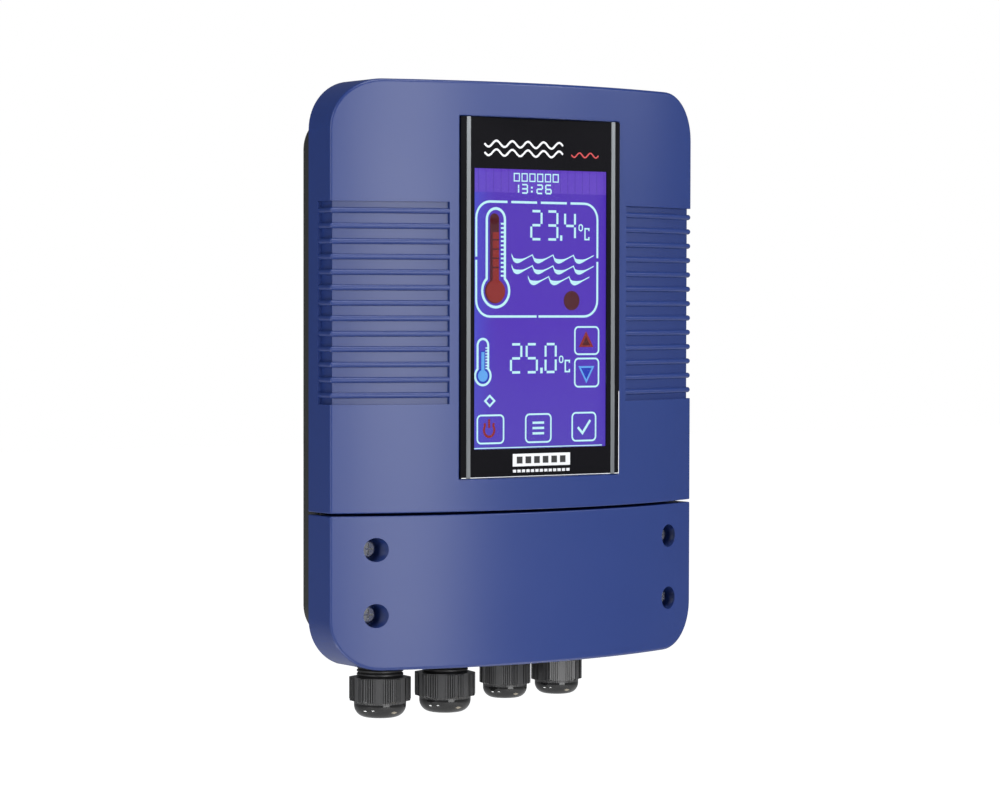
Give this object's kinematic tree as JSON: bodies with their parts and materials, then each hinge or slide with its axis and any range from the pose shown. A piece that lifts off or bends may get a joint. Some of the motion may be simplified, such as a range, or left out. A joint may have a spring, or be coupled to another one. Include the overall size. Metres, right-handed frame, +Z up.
{
  "type": "pool heating controller",
  "caption": "Wall-hung controller in a curved blue case with a touch display, ribbed grips, a screwed terminal cover and cable glands below.",
  "frame": {"origin": "centre of the four wall-fixing holes, on the wall plane", "axes": "+Y into the wall, front faces -Y, +Z up, +X to the right seen from the front"},
  "size_m": [0.191, 0.0505, 0.2718],
  "materials": {
    "blue_shell": "satin moulded, deep blue",
    "black_tray": "fine matt",
    "seal_foam": "matt",
    "steel": "bright zinc",
    "brass": "turned",
    "silver_trim": "satin",
    "fascia_glass": "gloss, printed black at the back",
    "window_clear": "clear",
    "touch_film": "clear film",
    "lcd_glass": "dot-matrix panel, lit violet blue",
    "backlight_white": "diffuser",
    "gasket_tape": "adhesive foam",
    "tin_frame": "tin plate",
    "circuit_board": "green lacquer",
    "chip_black": "moulded epoxy",
    "buzzer_black": "moulded",
    "holder_black": "moulded",
    "battery_steel": "stamped",
    "core_steel": "varnished laminations",
    "winding_tape": "polyester tape",
    "relay_case": "moulded",
    "capacitor_sleeve": "shrink sleeve",
    "fuse_clip": "tinned spring",
    "fuse_glass": "clear",
    "terminal_grey": "moulded green",
    "clamp_metal": "nickel",
    "socket_white": "nylon",
    "ribbon_grey": "pvc",
    "gland_body_black": "nylon",
    "gland_nut_black": "nylon, shiny dome",
    "gland_rubber": "neoprene"
  },
  "bodies": {
    "housing": {"back_tray": "black_tray", "rim_seal": "seal_foam", "front_housing": "blue_shell", "housing_screws": "steel", "cover_inserts": "brass", "trim_strip_left": "silver_trim", "trim_strip_right": "silver_trim", "display_fascia": "fascia_glass", "display_window": "window_clear", "fascia_gasket": "gasket_tape", "touch_layer": "touch_film", "lcd_panel": "lcd_glass", "backlight": "backlight_white", "lcd_frame": "tin_frame", "display_board": "circuit_board", "display_standoffs": "brass", "display_screws": "steel", "display_chip": "chip_black", "buzzer": "buzzer_black", "battery_holder": "holder_black", "clock_battery": "battery_steel", "main_board": "circuit_board", "board_screws": "steel", "transformer_core": "core_steel", "transformer_winding": "winding_tape", "relays": "relay_case", "capacitors": "capacitor_sleeve", "control_chip": "chip_black", "fuse_holder": "fuse_clip", "fuse": "fuse_glass", "terminal_blocks": "terminal_grey", "terminal_clamps": "clamp_metal", "terminal_screws": "steel", "display_socket": "socket_white", "board_socket": "socket_white", "ribbon_cable": "ribbon_grey", "gland_body_1": "gland_body_black", "gland_body_2": "gland_body_black", "gland_body_3": "gland_body_black", "gland_body_4": "gland_body_black", "gland_washers": "gland_rubber", "gland_locknuts": "gland_body_black"},
    "terminal_cover": {"terminal_cover": "blue_shell"},
    "cover_washer_1": {"cover_washer_1": "seal_foam"},
    "cover_screw_1": {"cover_screw_1": "steel"},
    "cover_washer_2": {"cover_washer_2": "seal_foam"},
    "cover_screw_2": {"cover_screw_2": "steel"},
    "cover_washer_3": {"cover_washer_3": "seal_foam"},
    "cover_screw_3": {"cover_screw_3": "steel"},
    "cover_washer_4": {"cover_washer_4": "seal_foam"},
    "cover_screw_4": {"cover_screw_4": "steel"},
    "gland_seal_1": {"gland_seal_1": "gland_rubber"},
    "gland_nut_1": {"gland_nut_1": "gland_nut_black"},
    "gland_seal_2": {"gland_seal_2": "gland_rubber"},
    "gland_nut_2": {"gland_nut_2": "gland_nut_black"},
    "gland_seal_3": {"gland_seal_3": "gland_rubber"},
    "gland_nut_3": {"gland_nut_3": "gland_nut_black"},
    "gland_seal_4": {"gland_seal_4": "gland_rubber"},
    "gland_nut_4": {"gland_nut_4": "gland_nut_black"}
  },
  "joints": [
    {"name": "cover_pull", "type": "slide", "parent": "housing", "child": "terminal_cover", "axis": [0, -1, 0], "range_m": [0, 0.08]},
    {"name": "cover_screw_1_out", "type": "slide", "parent": "terminal_cover", "child": "cover_washer_1", "axis": [0, -1, 0], "range_m": [0, 0.0104]},
    {"name": "cover_screw_1_turn", "type": "hinge", "parent": "cover_washer_1", "child": "cover_screw_1", "pos_m": [-0.0774, -0.0274, -0.07375], "axis": [0, -1, 0], "range_deg": [0, 5400]},
    {"name": "cover_screw_2_out", "type": "slide", "parent": "terminal_cover", "child": "cover_washer_2", "axis": [0, -1, 0], "range_m": [0, 0.0104]},
    {"name": "cover_screw_2_turn", "type": "hinge", "parent": "cover_washer_2", "child": "cover_screw_2", "pos_m": [-0.0774, -0.0274, -0.1017], "axis": [0, -1, 0], "range_deg": [0, 5400]},
    {"name": "cover_screw_3_out", "type": "slide", "parent": "terminal_cover", "child": "cover_washer_3", "axis": [0, -1, 0], "range_m": [0, 0.0104]},
    {"name": "cover_screw_3_turn", "type": "hinge", "parent": "cover_washer_3", "child": "cover_screw_3", "pos_m": [0.0774, -0.0274, -0.07375], "axis": [0, -1, 0], "range_deg": [0, 5400]},
    {"name": "cover_screw_4_out", "type": "slide", "parent": "terminal_cover", "child": "cover_washer_4", "axis": [0, -1, 0], "range_m": [0, 0.0104]},
    {"name": "cover_screw_4_turn", "type": "hinge", "parent": "cover_washer_4", "child": "cover_screw_4", "pos_m": [0.0774, -0.0274, -0.1017], "axis": [0, -1, 0], "range_deg": [0, 5400]},
    {"name": "gland_1_out", "type": "slide", "parent": "housing", "child": "gland_seal_1", "axis": [0, 0, -1], "range_m": [0, 0.009]},
    {"name": "gland_1_turn", "type": "hinge", "parent": "gland_seal_1", "child": "gland_nut_1", "pos_m": [-0.0655, -0.0205, -0.1468], "axis": [0, 0, -1], "range_deg": [0, 2170]},
    {"name": "gland_2_out", "type": "slide", "parent": "housing", "child": "gland_seal_2", "axis": [0, 0, -1], "range_m": [0, 0.009]},
    {"name": "gland_2_turn", "type": "hinge", "parent": "gland_seal_2", "child": "gland_nut_2", "pos_m": [-0.0322, -0.0205, -0.1468], "axis": [0, 0, -1], "range_deg": [0, 2170]},
    {"name": "gland_3_out", "type": "slide", "parent": "housing", "child": "gland_seal_3", "axis": [0, 0, -1], "range_m": [0, 0.009]},
    {"name": "gland_3_turn", "type": "hinge", "parent": "gland_seal_3", "child": "gland_nut_3", "pos_m": [-0.0006, -0.0205, -0.1427], "axis": [0, 0, -1], "range_deg": [0, 2170]},
    {"name": "gland_4_out", "type": "slide", "parent": "housing", "child": "gland_seal_4", "axis": [0, 0, -1], "range_m": [0, 0.009]},
    {"name": "gland_4_turn", "type": "hinge", "parent": "gland_seal_4", "child": "gland_nut_4", "pos_m": [0.0272, -0.0205, -0.1427], "axis": [0, 0, -1], "range_deg": [0, 2170]}
  ],
  "couplings": [
    {"joint": "cover_screw_1_turn", "follows": "cover_screw_1_out", "rad_per_m": 8976},
    {"joint": "cover_screw_2_turn", "follows": "cover_screw_2_out", "rad_per_m": 8976},
    {"joint": "cover_screw_3_turn", "follows": "cover_screw_3_out", "rad_per_m": 8976},
    {"joint": "cover_screw_4_turn", "follows": "cover_screw_4_out", "rad_per_m": 8976},
    {"joint": "gland_1_turn", "follows": "gland_1_out", "rad_per_m": 4188.8},
    {"joint": "gland_2_turn", "follows": "gland_2_out", "rad_per_m": 4188.8},
    {"joint": "gland_3_turn", "follows": "gland_3_out", "rad_per_m": 4188.8},
    {"joint": "gland_4_turn", "follows": "gland_4_out", "rad_per_m": 4188.8}
  ]
}
